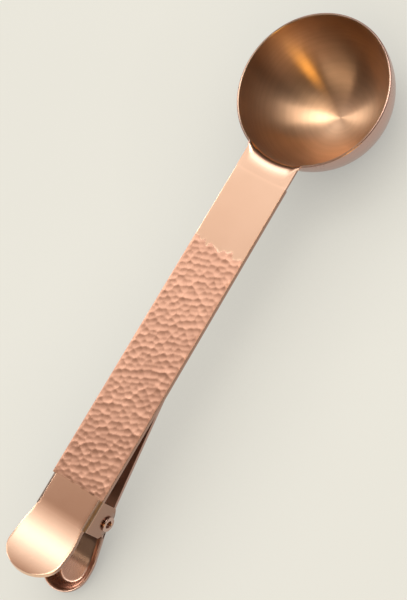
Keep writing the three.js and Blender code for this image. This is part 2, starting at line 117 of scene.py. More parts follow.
# Clip
ARM_THICKNESS = 1.0
ARM_SIDE_CLEARANCE = 0.2
ARM_BELOW_PIN = 2.6
ARM_EAR_RADIUS = 2.6
ARM_EAR_BASE = 8.4
ARM_BEND = 1.6
JAW_REACH = 44.0
JAW_PAD = 4.0
JAW_GAP = 0.25
JAW_CORNER = 3.0
LEVER_REACH = 22.2
LEVER_LEVEL = 10.2
LEVER_DROP = 8.2
DISH_WALL = 3.6
DISH_RAMP = 11.0
EDGE_CHAMFER = 0.29  # of the edge's rounding: where the middle of a quarter circle lies
ARM_HALF_WIDTH = TAIL_WIDTH / 2 - HANDLE_THICKNESS - ARM_SIDE_CLEARANCE
LEVER_ROUND_START = LEVER_REACH - ARM_HALF_WIDTH
JAW_TOP = PIN_DROP - HANDLE_THICKNESS - JAW_GAP
DISH_DEPTH = PIN_HEIGHT - LEVER_DROP - ARM_THICKNESS
ARM_LINE = [(-JAW_REACH, JAW_TOP), (-JAW_REACH + JAW_PAD, JAW_TOP), (0.0, -ARM_BELOW_PIN),
            (LEVER_REACH - LEVER_LEVEL, -LEVER_DROP), (LEVER_REACH, -LEVER_DROP)]

# Hinge pin and spring
PIN_RADIUS = 1.5
PIN_BORE_RADIUS = 1.0
PIN_SIDES = 64
HEAD_RADIUS = 2.15
HEAD_HEIGHT = 0.6
HEAD_CLEARANCE = 0.1
HEAD_CHAMFER = 0.12
HEAD_ROLL_START = -0.9  # the angle at which a head's rolled edge begins, under its widest place
HEAD_ROLL_STEPS = 8
BORE_ROLL_STEPS = 6
WIRE_RADIUS = 0.45
WIRE_SIDES = 12
SPRING_CLEARANCE = 0.3
SPRING_CURLS = 4
SPRING_PITCH = 1.5
LEG_REACH = 10.0
LEG_GAP = 0.3
LEG_STEPS = 12
COIL_STEPS = 40  # for each turn
COIL_RADIUS = PIN_RADIUS + SPRING_CLEARANCE + WIRE_RADIUS


# Mesh helpers
SHARP_ANGLE = math.radians(38)
MERGE_DISTANCE = 1e-6  # metres


def make_object(name, points, faces):
    """A smooth-shaded mesh with its sharp edges marked, from points in millimetres."""
    mesh = bpy.data.meshes.new(name)
    mesh.from_pydata([[c * MM for c in p] for p in points], [], faces)
    made = bmesh.new()
    made.from_mesh(mesh)
    bmesh.ops.remove_doubles(made, verts=made.verts, dist=MERGE_DISTANCE)
    bmesh.ops.recalc_face_normals(made, faces=made.faces)
    for face in made.faces:
        face.smooth = True
    for edge in made.edges:
        if len(edge.link_faces) == 2 and edge.calc_face_angle(0) > SHARP_ANGLE:
            edge.smooth = False
    made.to_mesh(mesh)
    made.free()
    item = bpy.data.objects.new(name, mesh)
    bpy.context.scene.collection.objects.link(item)
    return item


def loft(sections):
    """Points and faces of a closed skin through loops of equal length, capped at both ends."""
    rows, columns = len(sections), len(sections[0])
    points = [p for section in sections for p in section]
    faces = []
    for i in range(rows - 1):
        for j in range(columns):
            k = (j + 1) % columns
            faces.append((i * columns + j, i * columns + k, (i + 1) * columns + k, (i + 1) * columns + j))
    faces.append(tuple(range(columns))[::-1])
    faces.append(tuple(range((rows - 1) * columns, rows * columns)))
    return points, faces


def merge(parts):
    """One list of points and faces out of several."""
    points, faces = [], []
    for some_points, some_faces in parts:
        shift = len(points)
        points.extend(some_points)
        faces.extend(tuple(index + shift for index in face) for face in some_faces)
    return points, faces


def smooth_step(t):
    t = min(1.0, max(0.0, t))
    return t * t * (3 - 2 * t)


def arc_points(radius, centre, start, end, steps):
    angles = [start + (end - start) * i / steps for i in range(steps + 1)]
    return [(centre[0] + radius * math.cos(a), centre[1] + radius * math.sin(a)) for a in angles]


# Bowl: steps along its half section, and columns around it
POLE_GAP = 0.01  # the inside's rings stop this angle short of the pole
INNER_STEPS = 44
OUTER_STEPS = 36
WALL_STEPS = 4  # from the common wall up to the turn
TURN_STEPS = 8
DIP_STEPS = 6
FLAT_STEPS = 2
UPPER_STEPS = WALL_STEPS + TURN_STEPS + DIP_STEPS + FLAT_STEPS
DIP_PARTS = 10  # small parts to each step of the dip, for summing up its run
SEAM_STEPS = 4
NECK_COLUMNS = 24
BLEND_COLUMNS = 6
ROUND_COLUMNS = 150
COLUMN_COUNT = NECK_COLUMNS + ROUND_COLUMNS + 2 * BLEND_COLUMNS
NECK_PLACES = [NECK_HALF * (2 * j / NECK_COLUMNS - 1) for j in range(NECK_COLUMNS + 1)]
CORNER_X = math.sqrt((BOWL_RADIUS + CORNER_ROUND) ** 2 - (NECK_HALF + CORNER_ROUND) ** 2)
CORNER_END = math.hypot(CORNER_X, NECK_HALF)
BLEND_END = math.atan2(NECK_HALF + CORNER_ROUND, CORNER_X)


def dip_line(length):
    """A dip that steepens more and more, as (run, drop, tilt) from its flat start to the tight turn."""
    parts = DIP_STEPS * DIP_PARTS
    line = [(0.0, 0.0, 0.0)]
    for i in range(parts):
        run, drop, _ = line[-1]
        tilt = DIP_TILT * ((i + 0.5) / parts) ** 2
        line.append((run + length / parts * math.cos(tilt), drop + length / parts * math.sin(tilt),
                     DIP_TILT * ((i + 1) / parts) ** 2))
    return line[::DIP_PARTS]


def lip_centres(turn, dip):
    """The radius where the lip's flat starts, and the middle of its tight turn as (radius, height)."""
    run, drop, _ = dip_line(dip)[-1]
    height = BOWL_HEIGHT - drop - turn * math.cos(DIP_TILT)
    place = math.sqrt((INNER_SPHERE + turn) ** 2 - (SPHERE_CENTRE - height) ** 2)
    return place - turn * math.sin(DIP_TILT) + run, (place, height)


def lip_section(turn, dip, stop):
    """Half section (radius, height) of the wall's top where it turns over into a lip that ends at stop."""
    flat_start, middle = lip_centres(turn, dip)
    angle = math.atan2(middle[1] - SPHERE_CENTRE, middle[0])
    tilted = math.pi / 2 + DIP_TILT
    up = arc_points(INNER_SPHERE, SPHERE_MIDDLE, COMMON_ANGLE, angle, WALL_STEPS)[1:]
    over = arc_points(turn, middle, math.pi + angle, tilted, TURN_STEPS)[1:]
    dipped = dip_line(dip)
    over += [(flat_start - run, BOWL_HEIGHT - drop) for run, drop, _ in dipped[-2::-1]]
    flat = [(flat_start + (stop - flat_start) * i / FLAT_STEPS, BOWL_HEIGHT)
            for i in range(1, FLAT_STEPS + 1)]
    below = [(r, BOWL_HEIGHT - BOWL_WALL) for r, _ in flat[::-1]]
    under = [(flat_start - run + BOWL_WALL * math.sin(tilt),
              BOWL_HEIGHT - drop - BOWL_WALL * math.cos(tilt)) for run, drop, tilt in dipped]
    under += arc_points(turn - BOWL_WALL, middle, tilted, math.pi + angle, TURN_STEPS)[1:-1]
    down = arc_points(OUTER_SPHERE, SPHERE_MIDDLE, angle, COMMON_ANGLE, WALL_STEPS)[:-1]
    return up + over + flat + below + under + down


def rim_section():
    """The plain rim in as many steps as a lip has, so that one can run into the other."""
    radius = BOWL_WALL / 2
    height = BOWL_HEIGHT - radius
    place = math.sqrt((INNER_SPHERE + radius) ** 2 - (SPHERE_CENTRE - height) ** 2)
    angle = math.atan2(height - SPHERE_CENTRE, place)
    over_steps = TURN_STEPS + DIP_STEPS
    up = arc_points(INNER_SPHERE, SPHERE_MIDDLE, COMMON_ANGLE, angle, WALL_STEPS)[1:]
    over = arc_points(radius, (place, height), math.pi + angle, math.pi / 2, over_steps)[1:]
    round_off = arc_points(radius, (place, height), math.pi / 2, angle, 2 * FLAT_STEPS)[1:]
    down = arc_points(OUTER_SPHERE, SPHERE_MIDDLE, angle, COMMON_ANGLE, WALL_STEPS + over_steps)[:-1]
    return up + over + round_off + down


def column_angle(j, radius):
    """A column's angle about the bowl's axis. The neck's columns go by their place across."""
    if j <= NECK_COLUMNS:
        return math.asin(NECK_PLACES[j] / radius)
    first = math.asin(NECK_HALF / radius)
    past, left = j - NECK_COLUMNS, COLUMN_COUNT - j
    if past <= BLEND_COLUMNS:
        return first + (BLEND_END - first) * past / BLEND_COLUMNS
    if left <= BLEND_COLUMNS:
        return 2 * math.pi - BLEND_END + (BLEND_END - first) * (BLEND_COLUMNS - left) / BLEND_COLUMNS
    return BLEND_END + (2 * math.pi - 2 * BLEND_END) * (past - BLEND_COLUMNS) / ROUND_COLUMNS


def turned(radius, height, angle):
    return (-radius * math.cos(angle), radius * math.sin(angle), height)


def at_side(radius, height, y):
    return (-math.sqrt(radius ** 2 - y ** 2), y, height)


class BowlSkin:
    """The bowl's points, with the faces of its wall and of the lip that turns over into the neck."""

    def __init__(self):
        self.points, self.wall_faces, self.lip_faces = [], [], []
        self.inner_ring, self.outer_ring = self.add_wall()
        self.add_rim()
        self.add_lip()

    def add(self, points):
        start = len(self.points)
        self.points.extend(points)
        return list(range(start, len(self.points)))

    def add_rings(self, section, radius):
        """A ring of points for each place in a half section, with the columns' angles at a radius."""
        angles = [column_angle(j, radius) for j in range(COLUMN_COUNT)]
        return [self.add([turned(r, z, angle) for angle in angles]) for r, z in section]

    def add_wall(self):
        """The wall that is the same all round. Returns its highest ring inside and outside."""
        base_angle = math.atan2(-SPHERE_CENTRE, BASE_FLAT_RADIUS)
        pole_angle = -math.pi / 2 + POLE_GAP
        inside = arc_points(INNER_SPHERE, SPHERE_MIDDLE, pole_angle, COMMON_ANGLE, INNER_STEPS)
        outside = arc_points(OUTER_SPHERE, SPHERE_MIDDLE, COMMON_ANGLE, base_angle, OUTER_STEPS)
        self.top_radius = inside[-1][0]
        inner_rings = self.add_rings(inside, self.top_radius)
        outer_rings = self.add_rings(outside, outside[0][0])
        pole, base = self.add([(0, 0, SPHERE_CENTRE - INNER_SPHERE), (0, 0, 0)])
        pairs = [(j, (j + 1) % COLUMN_COUNT) for j in range(COLUMN_COUNT)]
        for rings in (inner_rings, outer_rings):
            for upper, lower in zip(rings, rings[1:]):
                self.wall_faces += [(upper[j], upper[k], lower[k], lower[j]) for j, k in pairs]
        for j, k in pairs:
            self.wall_faces.append((pole, inner_rings[0][j], inner_rings[0][k]))
            self.wall_faces.append((base, outer_rings[-1][j], outer_rings[-1][k]))
        return inner_rings[-1], outer_rings[0]

    def join(self, a, b, top_faces):
        """Faces between two loops from the inside over the top to the outside, the top's in top_faces."""
        for i in range(len(a) - 1):
            on_top = WALL_STEPS < i < len(a) // 2
            store = top_faces if on_top else self.wall_faces
            store.append((a[i], a[i + 1], b[i + 1], b[i]))

    def add_rim(self):
        """The rim, and the blend from the rim into the lip at each corner of the neck."""
        corner, rim = lip_section(LIP_TURN[1], LIP_DIP[1], CORNER_END), rim_section()
        loops = []
        for j in range(NECK_COLUMNS, COLUMN_COUNT + 1):
            blend = min(1.0, (j - NECK_COLUMNS) / BLEND_COLUMNS, (COLUMN_COUNT - j) / BLEND_COLUMNS)
            share = smooth_step(blend)
            section = [(c[0] + (r[0] - c[0]) * share, c[1] + (r[1] - c[1]) * share)
                       for c, r in zip(corner, rim)]
            if blend == 0:
                side = NECK_HALF if j == NECK_COLUMNS else -NECK_HALF
                places = [at_side(r, z, side) for r, z in section]
            else:
                places = [turned(r, z, column_angle(j, r if blend < 1 else self.top_radius))
                          for r, z in section]
            ring_place = j % COLUMN_COUNT
            loops.append([self.inner_ring[ring_place]] + self.add(places) + [self.outer_ring[ring_place]])
        for k, (a, b) in enumerate(zip(loops, loops[1:])):
            in_corner = k < BLEND_COLUMNS or k >= len(loops) - 1 - BLEND_COLUMNS
            self.join(a, b, self.lip_faces if in_corner else self.wall_faces)

    def add_lip(self):
        """The lip, turned over the rim's line and then flat to the seam."""
        spread = CORNER_END - lip_centres(LIP_TURN[1], LIP_DIP[1])[0]
        loops, side_walls = [], []
        for j, y in enumerate(NECK_PLACES):
            share = smooth_step((NECK_HALF - abs(y)) / LIP_FADE)
            turn = LIP_TURN[1] + (LIP_TURN[0] - LIP_TURN[1]) * share
            dip = LIP_DIP[1] + (LIP_DIP[0] - LIP_DIP[1]) * share
            section = lip_section(turn, dip, lip_centres(turn, dip)[0] + spread)
            upper = [at_side(r, z, y) for r, z in section[:UPPER_STEPS]]
            lower = [at_side(r, z, y) for r, z in section[UPPER_STEPS:]]
            start = upper[-1][0]
            run = [start + (-SEAM_PLACE - start) * i / SEAM_STEPS for i in range(1, SEAM_STEPS + 1)]
            ahead = self.add([(x, y, BOWL_HEIGHT) for x in run])
            behind = self.add([(x, y, BOWL_HEIGHT - BOWL_WALL) for x in run[::-1]])
            first, last = self.add(upper), self.add(lower)
            loops.append([self.inner_ring[j]] + first + ahead + behind + last + [self.outer_ring[j]])
            side_walls.append(tuple([first[-1]] + ahead + behind + [last[0]]))
        for a, b in zip(loops, loops[1:]):
            self.join(a, b, self.lip_faces)
        self.lip_faces += [side_walls[0], side_walls[-1]]


# Handle: steps of its mesh along and across
PLAIN_ROWS = 12
PLAIN_STOP = 1.2  # before the panel's start
PANEL_LEAD = 1.0  # before the panel's start, where the closer rows begin
PANEL_ROW = 0.25  # spacing of the panel's rows
PANEL_COLUMNS = 70
EAR_STEPS = 24
EAR_TOP_STEPS = 12
EAR_BEND_STEPS = 8
EAR_INNER_STEPS = 4
EAR_WALL_SHARES = (0.33, 0.66, 0.97)
TAIL_STEPS = 24
TIP_STEPS = 40
TAIL_COLUMNS = 24
TIP_LEAST = 0.15  # half the width that is left between the rounded edges at the very tip
NEAR_DIMPLES = 2  # dimples to each side that can shape a place
HALVINGS = 40


def handle_half_width(place):
    share = min(1.0, max(0.0, (place - SEAM) / (EAR_START - SEAM)))
    return NECK_HALF + (TAIL_WIDTH / 2 - NECK_HALF) * share


def edge_arc(y, z, side, upper):
    """Four points that round a strip's edge. side is +1 or -1 in Y, and upper says which corner."""
    angles = (90, 60, 30, 0) if upper else (0, -30, -60, -90)
    radians = [math.radians(a) for a in angles]
    return [(y + side * EDGE_ROUND * math.cos(a), z + EDGE_ROUND * math.sin(a)) for a in radians]


def strip_loop(half, columns):
    """A strip's section as (y, height above the top face): its top from +Y, and the rest."""
    inner, low = half - EDGE_ROUND, EDGE_ROUND - HANDLE_THICKNESS
    top = [(inner * (1 - 2 * j / columns), 0.0) for j in range(columns + 1)]
    right = edge_arc(-inner, -EDGE_ROUND, -1, True)[1:] + edge_arc(-inner, low, -1, False)
    left = edge_arc(inner, low, 1, False)[::-1] + edge_arc(inner, -EDGE_ROUND, 1, True)[::-1][:-1]
    return top, right + left


def dimple_field():
    """The hammered panel's relief, of shallow dimples that meet in ridges, and how far it has started."""
    random = np.random.RandomState(DIMPLE_SEED)
    rows = int((PANEL_END - PANEL_PLACE) / DIMPLE_LENGTH) + 2 * SPARE_DIMPLES
    columns = int((PANEL_END - PANEL_PLACE) / DIMPLE_WIDTH) + 2 * SPARE_DIMPLES
    offset_x = random.uniform(-DIMPLE_SHIFT, DIMPLE_SHIFT, (rows, columns))
    offset_y = random.uniform(-DIMPLE_SHIFT, DIMPLE_SHIFT, (rows, columns))
    floor_height = random.uniform(0.0, DIMPLE_FLOOR, (rows, columns))
    bend = random.uniform(*DIMPLE_BEND_RANGE, (rows, columns)) * DIMPLE_BEND
    wander = random.uniform(-1.0, 1.0, WANDER_COUNT)
    tilt_cos, tilt_sin = math.cos(DIMPLE_ROW_TILT), math.sin(DIMPLE_ROW_TILT)

    def height(place, y):
        ahead, aside = place - PANEL_PLACE, y + TAIL_WIDTH / 2
        u = (ahead * tilt_cos + aside * tilt_sin) / DIMPLE_LENGTH + SPARE_DIMPLES
        across = (aside * tilt_cos - ahead * tilt_sin) / DIMPLE_WIDTH
        i0 = int(math.floor(u))
        lowest = DIMPLE_RIDGE
        for i in range(max(0, i0 - NEAR_DIMPLES), min(rows, i0 + NEAR_DIMPLES + 1)):
            v = across + 0.5 * (i % 2)
            j0 = int(math.floor(v))
            for j in range(j0 - NEAR_DIMPLES, j0 + NEAR_DIMPLES + 1):
                k = j % columns
                du = (u - i - 0.5 - offset_x[i, k]) * DIMPLE_LENGTH
                dv = (v - j - 0.5 - offset_y[i, k]) * DIMPLE_WIDTH * DIMPLE_ASPECT
                lowest = min(lowest, floor_height[i, k] + bend[i, k] * (du * du + dv * dv))
        return lowest

    def started(place, y):
        frequency, reach, fade = START_WANDER
        at = (y + TAIL_WIDTH) * frequency
        k = int(at)
        share = smooth_step(at - k)
        edge = wander[k % WANDER_COUNT] * (1 - share) + wander[(k + 1) % WANDER_COUNT] * share
        return smooth_step((place - PANEL_PLACE - reach * edge) / fade)

    def to_end(place, y):
        frequency, reach, fade = END_WANDER
        edge = abs(wander[int((y + TAIL_WIDTH) * frequency) % WANDER_COUNT])
        return smooth_step((PANEL_END + END_OVERRUN - reach * edge - place) / fade)

    def relief(place, y, half):
        side = smooth_step((half - EDGE_ROUND - abs(y)) / PANEL_MARGIN)
        share = side * to_end(place, y) * started(place, y)
        return height(place, y) * share if share else 0.0

    return relief, started


hammer_relief, hammer_started = dimple_field()


def front_strip():
    places = list(np.linspace(SEAM_PLACE, PANEL_PLACE - PLAIN_STOP, PLAIN_ROWS))
    places += list(np.arange(PANEL_PLACE - PANEL_LEAD, EAR_START - PANEL_ROW / 5, PANEL_ROW))
    sections = []
    for place in places + [EAR_START]:
        half = handle_half_width(place)
        top, rest = strip_loop(half, PANEL_COLUMNS)
        loop = [(-place, y, BOWL_HEIGHT + z + hammer_relief(place, y, half)) for y, z in top]
        sections.append(loop + [(-place, y, BOWL_HEIGHT + z) for y, z in rest])
    return loft(sections)


def ear_drop(place):
    """How far below the handle's top face an ear's lower edge is."""
    half = EAR_LENGTH / 2
    radius = (half ** 2 + EAR_SHOULDER ** 2) / (2 * EAR_SHOULDER)
    lowest = PIN_DROP + EAR_BELOW_PIN
    return lowest - radius + math.sqrt(radius ** 2 - (place - PIN_PLACE) ** 2)


def tail_curl():
    """The radius of a curl that starts before the ears' end and rises as high as the solid tail."""
    length = TAIL_CURL_LENGTH + TAIL_LEAD
    rise = TAIL_RISE_SHARE * TAIL_CURL_RADIUS * (1 - math.cos(TAIL_CURL_LENGTH / TAIL_CURL_RADIUS))
    low, high = TAIL_CURL_RADIUS, 4 * TAIL_CURL_RADIUS
    for _ in range(HALVINGS):
        radius = (low + high) / 2
        low, high = (radius, high) if radius * (1 - math.cos(length / radius)) > rise else (low, radius)
    return radius


CURL_RADIUS = tail_curl()


def curl_at(run):
    """The tail's lean, place and height at a run past the ears' end."""
    lean = max(0.0, run + TAIL_LEAD) / CURL_RADIUS
    place = EAR_END + min(run, -TAIL_LEAD) + CURL_RADIUS * math.sin(lean)
    return lean, place, BOWL_HEIGHT + CURL_RADIUS * (1 - math.cos(lean))


def ear_section(drop):
    """The eared stretch's section as (y, height): the top, and the way round the ear on -Y."""
    half = TAIL_WIDTH / 2
    bend = half - EAR_BEND_RADIUS
    inner_wall = half - HANDLE_THICKNESS
    inner_radius = EAR_BEND_RADIUS - HANDLE_THICKNESS
    top = [(bend - 2 * bend * j / EAR_TOP_STEPS, 0.0) for j in range(EAR_TOP_STEPS + 1)]
    right = [(-bend - EAR_BEND_RADIUS * math.sin(a), -EAR_BEND_RADIUS + EAR_BEND_RADIUS * math.cos(a))
             for a in np.linspace(0, math.pi / 2, EAR_BEND_STEPS + 1)[1:]]
    right += [(-half, -EAR_BEND_RADIUS + (EAR_BEND_RADIUS - drop) * t) for t in EAR_WALL_SHARES]
    right += [(-half + EAR_CHAMFER, -drop), (-inner_wall - EAR_CHAMFER, -drop)]
    right += [(-inner_wall, -drop * EAR_WALL_SHARES[-1]), (-inner_wall, -drop / 2)]
    right += [(-bend - inner_radius * math.sin(a), -EAR_BEND_RADIUS + inner_radius * math.cos(a))
              for a in np.linspace(math.pi / 2, 0, EAR_INNER_STEPS + 1)]
    return top, right


def eared_strip():
    """The stretch of the handle whose sides bend down into the two ears."""
    sections = []
    for place in np.linspace(EAR_START, EAR_END, EAR_STEPS + 1):
        top, right = ear_section(ear_drop(place))
        left = [(-y, z) for y, z in right][::-1]
        height = curl_at(place - EAR_END)[2]
        sections.append([(-place, y, height + z) for y, z in top + right + left])
    return loft(sections)


def tail_strip():
    """The curled tail, notched beside the ears and rounded at its tip."""
    half_width = TAIL_WIDTH / 2
    straight = TAIL_CURL_LENGTH - TAIL_ROUND
    rows = []
    for i in range(TAIL_STEPS + 1):
        run = straight * i / TAIL_STEPS
        rows.append((run, half_width - TAIL_NOTCH * (1 - smooth_step(run / TAIL_NOTCH_LENGTH))))
    last = math.acos(TIP_FLAT / half_width)
    for i in range(1, TIP_STEPS + 1):
        angle = last * i / TIP_STEPS
        rows.append((straight + TAIL_ROUND * math.sin(angle), half_width * math.cos(angle)))
    sections = []
    for run, half in rows:
        lean, place, height = curl_at(run)
        top, rest = strip_loop(max(half, EDGE_ROUND + TIP_LEAST), TAIL_COLUMNS)
        sections.append([(-place + z * math.sin(lean), y, height + z * math.cos(lean))
                         for y, z in top + rest])
    return loft(sections)


# Clip arm: steps of its mesh along and across
JAW_CORNER_STEPS = 12
JAW_ROWS = 60
LEVER_STEPS = 90
ARM_COLUMNS = 48
ARM_EAR_STEPS = 24
EDGE_SHARE = 0.4  # of the half width, the most that an edge's rounding takes


def arm_slope(k):
    return (ARM_LINE[k + 1][1] - ARM_LINE[k][1]) / (ARM_LINE[k + 1][0] - ARM_LINE[k][0])


def arm_line(along):
    """The arm's height over the pin, at a distance from the pin towards the lever's end."""
    height = ARM_LINE[0][1] + arm_slope(0) * (along - ARM_LINE[0][0])
    for k in range(1, len(ARM_LINE) - 1):
        past = along - ARM_LINE[k][0]
        turn = arm_slope(k) - arm_slope(k - 1)
        rounded = min(ARM_BEND, max(-ARM_BEND, past)) + ARM_BEND
        height += turn * (rounded ** 2 / (4 * ARM_BEND) + max(0.0, past - ARM_BEND))
    return height


def arm_half_width(along):
    from_tip = along + JAW_REACH
    if from_tip < JAW_CORNER:
        return ARM_HALF_WIDTH - JAW_CORNER + math.sqrt(JAW_CORNER ** 2 - (JAW_CORNER - from_tip) ** 2)
    past_round = max(0.0, along - LEVER_ROUND_START)
    return math.sqrt(max(0.0, ARM_HALF_WIDTH ** 2 - past_round ** 2))


def dish_depth(along, y):
    ramp_share = smooth_step((along + EAR_LENGTH / 2) / DISH_RAMP)
    past_round = max(0.0, along - LEVER_ROUND_START)
    from_edge = ARM_HALF_WIDTH - math.hypot(past_round, y)
    return DISH_DEPTH * ramp_share * smooth_step(from_edge / DISH_WALL)


def arm_places():
    """Where the arm's sections are: closer together at the jaw's corners and towards the lever's end."""
    start = -EAR_LENGTH / 2
    end = LEVER_ROUND_START + math.sqrt(ARM_HALF_WIDTH ** 2 - TIP_FLAT ** 2)
    places = [-JAW_REACH + JAW_CORNER * (1 - math.cos(math.pi / 2 * i / JAW_CORNER_STEPS))
              for i in range(JAW_CORNER_STEPS + 1)]
    places += list(np.linspace(-JAW_REACH + JAW_CORNER, start, JAW_ROWS))[1:]
    places += [start + (end - start) * math.sin(math.pi / 2 * i / LEVER_STEPS)
               for i in range(1, LEVER_STEPS + 1)]
    return places


def arm_sheet():
    """The jaw, the floor between the arm's ears and the dished lever, as one sheet above the base."""
    sections = []
    for along in arm_places():
        half = arm_half_width(along)
        edge = min(EDGE_ROUND, half * EDGE_SHARE)
        cut = EDGE_CHAMFER * edge
        ys = [(half - edge) * math.cos(math.pi * j / ARM_COLUMNS) for j in range(ARM_COLUMNS + 1)]
        line = PIN_HEIGHT + arm_line(along)
        low = line - ARM_THICKNESS
        top = [(y, line - dish_depth(along, y)) for y in ys]
        bottom = [(y, z - ARM_THICKNESS) for y, z in top[::-1]]
        right = [(-half + cut, line - cut), (-half, line - edge),
                 (-half, low + edge), (-half + cut, low + cut)]
        left = [(-y, z) for y, z in right][::-1]
        sections.append([(-PIN_PLACE - along, y, max(z, 0.0)) for y, z in top + right + bottom + left])
    return loft(sections)


def arm_ear(side):
    half = ARM_EAR_BASE / 2
    base = ARM_THICKNESS / 2
    outline = [(-half, arm_line(half) - base), (half, arm_line(-half) - base)]
    outline += arc_points(ARM_EAR_RADIUS, (0, 0), 0, math.pi, ARM_EAR_STEPS)
    outer, inner = ARM_HALF_WIDTH, ARM_HALF_WIDTH - ARM_THICKNESS
    return loft([[(-PIN_PLACE + x, side * y, PIN_HEIGHT + z) for x, z in outline] for y in (inner, outer)])


# Hinge pin and spring
def pin_mesh():
    """A hollow rivet: a closed half section, turned about the pin's axis."""
    seat = TAIL_WIDTH / 2 + HEAD_CLEARANCE
    end = seat + HEAD_HEIGHT
    roll = HEAD_HEIGHT / 2
    half = [(PIN_RADIUS, seat), (HEAD_RADIUS - HEAD_CHAMFER, seat)]
    rolled_from, bored_from = (HEAD_RADIUS - roll, end - roll), (PIN_BORE_RADIUS + roll, end - roll)
    half += arc_points(roll, rolled_from, HEAD_ROLL_START, math.pi / 2, HEAD_ROLL_STEPS)
    half += arc_points(roll, bored_from, math.pi / 2, math.pi, BORE_ROLL_STEPS)
    profile = half + [(r, -y) for r, y in half[::-1]]
    n = len(profile)
    points, faces = [], []
    for i in range(PIN_SIDES):
        a = 2 * math.pi * i / PIN_SIDES
        points += [(-PIN_PLACE + r * math.cos(a), y, PIN_HEIGHT + r * math.sin(a)) for r, y in profile]
        for j in range(n):
            k, m = (j + 1) % n, (i + 1) % PIN_SIDES
            faces.append((i * n + j, i * n + k, m * n + k, m * n + j))
    return points, faces


def spring_path():
    """The wire's middle: a leg under the tail, the coil about the pin, and a leg over the lever's floor."""
    lean = (LEG_REACH - EAR_LENGTH / 2) / TAIL_CURL_RADIUS
    rise = TAIL_CURL_RADIUS * (1 - math.cos(lean))
    upper = (LEG_REACH, PIN_DROP + rise - HANDLE_THICKNESS / math.cos(lean) - LEG_GAP - WIRE_RADIUS)
    lower = (LEG_REACH, arm_line(LEG_REACH) - dish_depth(LEG_REACH, 0) + LEG_GAP + WIRE_RADIUS)
    start = math.atan2(upper[1], upper[0]) + math.acos(COIL_RADIUS / math.hypot(*upper))
    stop = math.atan2(lower[1], lower[0]) - math.acos(COIL_RADIUS / math.hypot(*lower))
    while stop - start < 2 * math.pi * (SPRING_CURLS - 0.5):
        stop += 2 * math.pi
    turns = (stop - start) / (2 * math.pi)
    steps = int(turns * COIL_STEPS)
    coil = []
    for i in range(steps + 1):
        angle = start + (stop - start) * i / steps
        across = SPRING_PITCH * ((angle - start) / (2 * math.pi) - turns / 2)
        coil.append((COIL_RADIUS * math.cos(angle), across, COIL_RADIUS * math.sin(angle)))

    def leg(end, joint):
        tip = (end[0], joint[1], end[1])
        return [tuple(e + (c - e) * i / LEG_STEPS for e, c in zip(tip, joint)) for i in range(LEG_STEPS)]

    path = leg(upper, coil[0]) + coil + leg(lower, coil[-1])[::-1]
    return [Vector((-PIN_PLACE - a, y, PIN_HEIGHT + z)) for a, y, z in path]


def tube(path, radius, sides):
    """A closed tube along a path, carried along without twist."""
    sections = []
    normal = Vector((0, 1, 0))
    for i, point in enumerate(path):
        ahead = path[min(i + 1, len(path) - 1)] - path[max(i - 1, 0)]
        ahead.normalize()
        normal = (normal - ahead * normal.dot(ahead)).normalized()
        other = ahead.cross(normal)
        loop = []
        for j in range(sides):
            a = 2 * math.pi * j / sides
            loop.append(tuple(point + radius * (normal * math.cos(a) + other * math.sin(a))))
        sections.append(loop)
    return loft(sections)


# Material helpers
BLACK, WHITE = (0, 0, 0), (1, 1, 1)
FLOAT_A, FLOAT_B, COLOUR_A, COLOUR_B = 2, 3, 6, 7  # a Mix node's inputs, by number since their names repeat
COLOUR_RESULT = 2  # and its output in colour mode


def new_material(name):
    material = bpy.data.materials.new(name)
    material.use_nodes = True
    tree = material.node_tree
    return material, tree, tree.nodes["Principled BSDF"]


def node(tree, kind, **values):
    """A new node, with values for its inputs or else for its own settings."""
    made = tree.nodes.new(kind)
    for key, value in values.items():
        if key in made.inputs:
            made.inputs[key].default_value = value
        else:
            setattr(made, key, value)
    return made


def ramp(tree, source, stops):
    made = tree.nodes.new("ShaderNodeValToRGB")
    elements = made.color_ramp.elements
    while len(elements) < len(stops):
        elements.new(0.5)
    for element, (place, colour) in zip(elements, stops):
        element.position = place
        element.color = (*colour, 1)
    tree.links.new(source, made.inputs["Fac"])
    return made.outputs["Color"]


def noise(tree, where, **values):
    made = node(tree, "ShaderNodeTexNoise", **values)
    tree.links.new(where, made.inputs["Vector"])
    return made.outputs["Fac"]


def split(tree, vector):
    made = node(tree, "ShaderNodeSeparateXYZ")
    tree.links.new(vector, made.inputs[0])
    return made.outputs


def calculate(tree, operation, *values):
    """A calculation with numbers, each of them a constant or another node's output."""
    made = node(tree, "ShaderNodeMath", operation=operation)
    for socket, value in zip(made.inputs, values):
        if isinstance(value, bpy.types.NodeSocket):
            tree.links.new(value, socket)
        else:
            socket.default_value = value
    return made.outputs[0]


def mix_colours(tree, first, second, factor=1.0, blend_type="MULTIPLY"):
    """Two colours mixed. Each of them is a constant or another node's output, and so is the factor."""
    made = node(tree, "ShaderNodeMix", data_type="RGBA", blend_type=blend_type)
    for socket, value in (("Factor", factor), (COLOUR_A, first), (COLOUR_B, second)):
        if isinstance(value, bpy.types.NodeSocket):
            tree.links.new(value, made.inputs[socket])
        else:
            made.inputs[socket].default_value = value if socket == "Factor" else (*value, 1)
    return made.outputs[COLOUR_RESULT]


